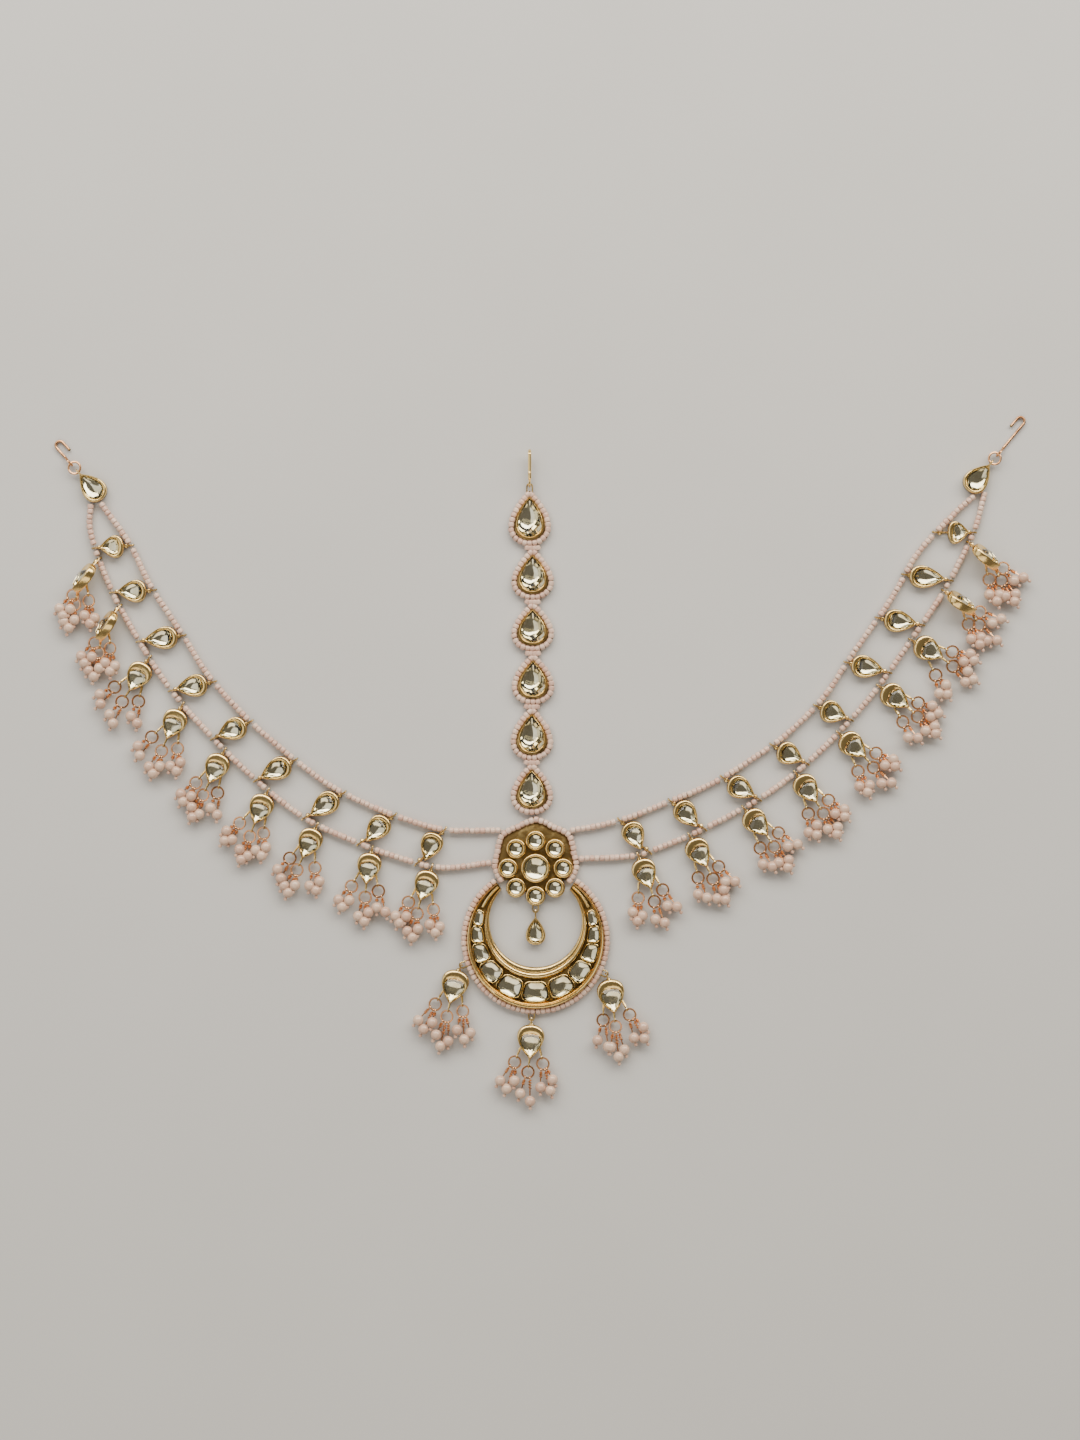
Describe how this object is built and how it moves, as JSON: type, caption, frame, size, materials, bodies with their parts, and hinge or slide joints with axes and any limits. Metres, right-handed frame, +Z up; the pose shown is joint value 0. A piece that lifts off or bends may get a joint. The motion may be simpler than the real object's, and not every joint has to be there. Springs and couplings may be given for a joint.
{
  "type": "matha patti",
  "caption": "Matha patti laid flat: a chain of beaded pear stones to a rosette and crescent, with beaded side ladders and pearl drops, worn over the hair and brow",
  "frame": {"origin": "the middle of the bottom of the whole box, on the table that the jewel lies on", "axes": "X across the jewel to its right end, Y along the middle chain to the head hook, Z up from the table"},
  "size_m": [0.2628, 0.1878, 0.007],
  "materials": {
    "antique_gold": "antique gold plate, worn satin",
    "foiled_glass": "clear cut glass over bright foil",
    "ivory_beads": "satin ivory"
  },
  "bodies": {
    "root": {"head_hook": "antique_gold", "link_1": "antique_gold", "link_2": "antique_gold", "link_3": "antique_gold", "link_4": "antique_gold", "link_5": "antique_gold", "link_6": "antique_gold", "rosette": "antique_gold", "crescent": "antique_gold", "inner_drop": "antique_gold", "left_crescent_drop": "antique_gold", "centre_crescent_drop": "antique_gold", "right_crescent_drop": "antique_gold", "left_upper_string": "ivory_beads", "left_lower_string": "ivory_beads", "left_rung_1": "antique_gold", "left_rung_2": "antique_gold", "left_rung_3": "antique_gold", "left_rung_4": "antique_gold", "left_rung_5": "antique_gold", "left_rung_6": "antique_gold", "left_rung_7": "antique_gold", "left_rung_8": "antique_gold", "left_rung_9": "antique_gold", "left_drop_1": "antique_gold", "left_drop_2": "antique_gold", "left_drop_3": "antique_gold", "left_drop_4": "antique_gold", "left_drop_5": "antique_gold", "left_drop_6": "antique_gold", "left_drop_7": "antique_gold", "left_drop_8": "antique_gold", "left_drop_9": "antique_gold", "left_end_stone": "antique_gold", "left_ring": "antique_gold", "left_hook": "antique_gold", "right_upper_string": "ivory_beads", "right_lower_string": "ivory_beads", "right_rung_1": "antique_gold", "right_rung_2": "antique_gold", "right_rung_3": "antique_gold", "right_rung_4": "antique_gold", "right_rung_5": "antique_gold", "right_rung_6": "antique_gold", "right_rung_7": "antique_gold", "right_rung_8": "antique_gold", "right_rung_9": "antique_gold", "right_drop_1": "antique_gold", "right_drop_2": "antique_gold", "right_drop_3": "antique_gold", "right_drop_4": "antique_gold", "right_drop_5": "antique_gold", "right_drop_6": "antique_gold", "right_drop_7": "antique_gold", "right_drop_8": "antique_gold", "right_drop_9": "antique_gold", "right_end_stone": "antique_gold", "right_ring": "antique_gold", "right_hook": "antique_gold"}
  },
  "joints": []
}
